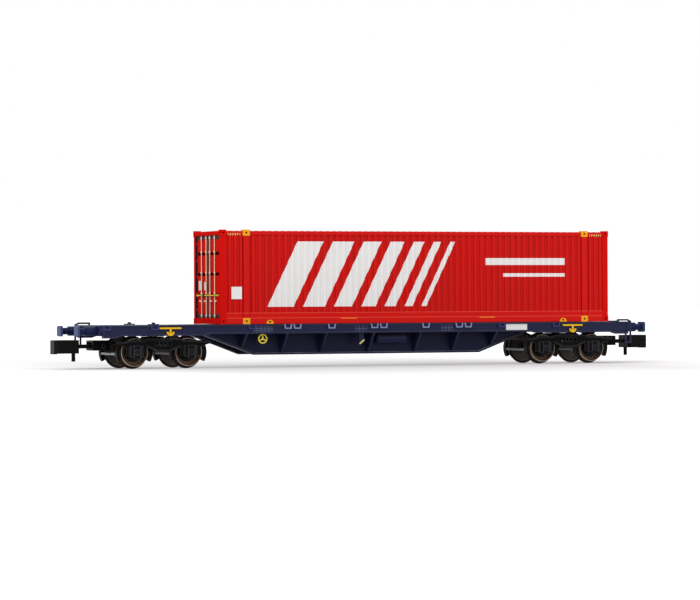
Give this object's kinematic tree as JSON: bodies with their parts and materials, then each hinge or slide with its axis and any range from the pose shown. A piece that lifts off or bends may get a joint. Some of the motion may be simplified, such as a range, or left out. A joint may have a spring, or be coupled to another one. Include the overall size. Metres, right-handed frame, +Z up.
{
  "type": "scale model flatcar with container",
  "caption": "Small scale model of a fishbelly container flatcar on swivelling bogies, with hook couplers and one long corrugated box container on its deck.",
  "frame": {"origin": "middle of the wagon, on the floor under the wheel flanges", "axes": "+X along the wagon towards the end that the container stands nearer to, +Y to the far side, +Z up"},
  "size_m": [0.1308, 0.0166, 0.0273],
  "materials": {
    "frame_blue": "satin navy paint",
    "belly_blue": "satin dark navy paint",
    "bracket_lilac": "matt moulded plastic with pale printed edges",
    "hook_yellow": "printed yellow",
    "lever_white": "printed white on navy",
    "bogie_black": "matt black moulding",
    "pin_steel": "turned",
    "coupler_black": "matt black moulding",
    "wheel_steel": "browned turned metal",
    "axle_dark": "blackened",
    "casting_yellow": "printed orange-yellow",
    "lock_bar_pale": "printed pale on red",
    "container_red": "satin red moulding"
  },
  "bodies": {
    "wagon": {"air_tank": "belly_blue", "buffers_left": "frame_blue", "buffers_right": "frame_blue", "changeover_lever_far": "lever_white", "changeover_lever_near": "lever_white", "container_door_far": "container_red", "container_door_frame": "container_red", "container_door_near": "container_red", "container_floor": "container_red", "container_front": "container_red", "container_front_frame": "container_red", "container_lock_bars": "lock_bar_pale", "container_roof": "container_red", "container_side_far": "container_red", "container_side_near": "container_red", "corner_steps": "belly_blue", "cross_members": "frame_blue", "deck_spigots": "frame_blue", "end_frame_left": "frame_blue", "end_frame_right": "frame_blue", "folding_spigots_far": "bracket_lilac", "folding_spigots_near": "bracket_lilac", "girder_far": "belly_blue", "girder_near": "belly_blue", "hand_wheel_far": "hook_yellow", "hand_wheel_near": "hook_yellow", "headstock_left": "frame_blue", "headstock_right": "frame_blue", "lift_castings": "casting_yellow", "outriggers_far": "frame_blue", "outriggers_near": "frame_blue", "pivot_pin_left": "pin_steel", "pivot_pin_right": "pin_steel", "rope_hooks_far": "hook_yellow", "rope_hooks_near": "hook_yellow", "side_sill_far": "frame_blue", "side_sill_near": "frame_blue"},
    "bogie_left": {"bogie_frame_left": "bogie_black", "brake_gear_left": "bogie_black", "coupler_pocket_left": "bogie_black"},
    "bogie_right": {"bogie_frame_right": "bogie_black", "brake_gear_right": "bogie_black", "coupler_pocket_right": "bogie_black"},
    "coupler_left": {"coupler_left": "coupler_black"},
    "coupler_right": {"coupler_right": "coupler_black"},
    "wheelset_1": {"wheels_1": "wheel_steel", "axle_1": "axle_dark"},
    "wheelset_2": {"wheels_2": "wheel_steel", "axle_2": "axle_dark"},
    "wheelset_3": {"wheels_3": "wheel_steel", "axle_3": "axle_dark"},
    "wheelset_4": {"wheels_4": "wheel_steel", "axle_4": "axle_dark"}
  },
  "joints": [
    {"name": "bogie_left_swivel", "type": "hinge", "parent": "wagon", "child": "bogie_left", "pos_m": [-0.04437, 0, 0.0063], "axis": [0, 0, 1], "range_deg": [-13, 13]},
    {"name": "bogie_right_swivel", "type": "hinge", "parent": "wagon", "child": "bogie_right", "pos_m": [0.04437, 0, 0.0063], "axis": [0, 0, 1], "range_deg": [-13, 13]},
    {"name": "wheelset_1_spin", "type": "hinge", "parent": "bogie_left", "child": "wheelset_1", "pos_m": [-0.05, 0, 0.00325], "axis": [0, 1, 0], "continuous": true},
    {"name": "wheelset_2_spin", "type": "hinge", "parent": "bogie_left", "child": "wheelset_2", "pos_m": [-0.03875, 0, 0.00325], "axis": [0, 1, 0], "continuous": true},
    {"name": "wheelset_3_spin", "type": "hinge", "parent": "bogie_right", "child": "wheelset_3", "pos_m": [0.03875, 0, 0.00325], "axis": [0, 1, 0], "continuous": true},
    {"name": "wheelset_4_spin", "type": "hinge", "parent": "bogie_right", "child": "wheelset_4", "pos_m": [0.05, 0, 0.00325], "axis": [0, 1, 0], "continuous": true},
    {"name": "coupler_left_lift", "type": "hinge", "parent": "bogie_left", "child": "coupler_left", "pos_m": [-0.05513, 0, 0.00445], "axis": [0, 1, 0], "range_deg": [0, 5]},
    {"name": "coupler_right_lift", "type": "hinge", "parent": "bogie_right", "child": "coupler_right", "pos_m": [0.05513, 0, 0.00445], "axis": [0, -1, 0], "range_deg": [0, 5]}
  ]
}
